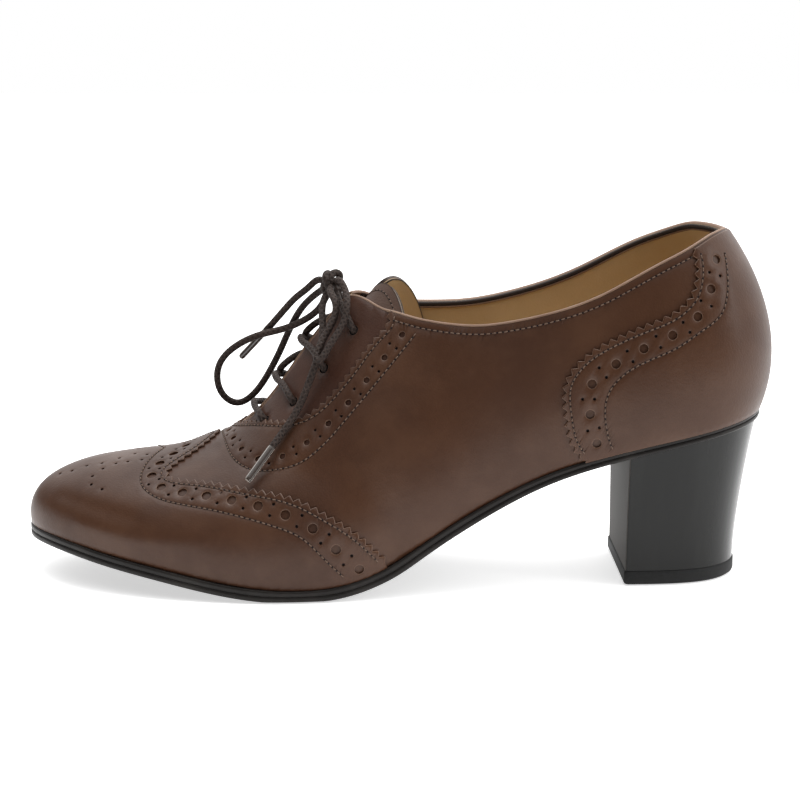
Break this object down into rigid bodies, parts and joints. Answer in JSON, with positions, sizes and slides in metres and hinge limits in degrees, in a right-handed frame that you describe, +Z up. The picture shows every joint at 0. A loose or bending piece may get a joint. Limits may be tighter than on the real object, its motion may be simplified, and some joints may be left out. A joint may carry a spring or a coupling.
{
  "type": "heeled oxford shoe",
  "caption": "Left heeled oxford with a wing-tip toe cap, heel counter, front lacing tied in a bow and a block heel.",
  "frame": {"origin": "on the floor under the middle of the heel's top piece", "axes": "+X from the toe to the back of the heel, -Y to the outer side of the foot, +Z up"},
  "size_m": [0.2479, 0.0806, 0.1153],
  "materials": {
    "upper_leather": "burnished, semi-gloss",
    "lining_leather": "matte",
    "sole_leather": "inked edge",
    "heel_lacquer": "gloss",
    "top_piece_rubber": "matte",
    "waxed_cord": "waxed",
    "clear_plastic": "clear"
  },
  "bodies": {
    "root": {"upper": "upper_leather", "wing_cap": "upper_leather", "heel_counter": "upper_leather", "tongue": "upper_leather", "insole": "lining_leather", "outsole": "sole_leather", "heel_block": "heel_lacquer", "top_piece": "top_piece_rubber", "lace_bar_2": "waxed_cord", "lace_bar_3": "waxed_cord", "lace_bar_4": "waxed_cord", "lace_top_outer": "waxed_cord", "lace_top_inner": "waxed_cord", "lace_knot": "waxed_cord", "lace_loop_outer": "waxed_cord", "lace_loop_inner": "waxed_cord", "lace_end_outer": "waxed_cord", "lace_end_inner": "waxed_cord", "aglet_outer": "clear_plastic", "aglet_inner": "clear_plastic"}
  },
  "joints": []
}
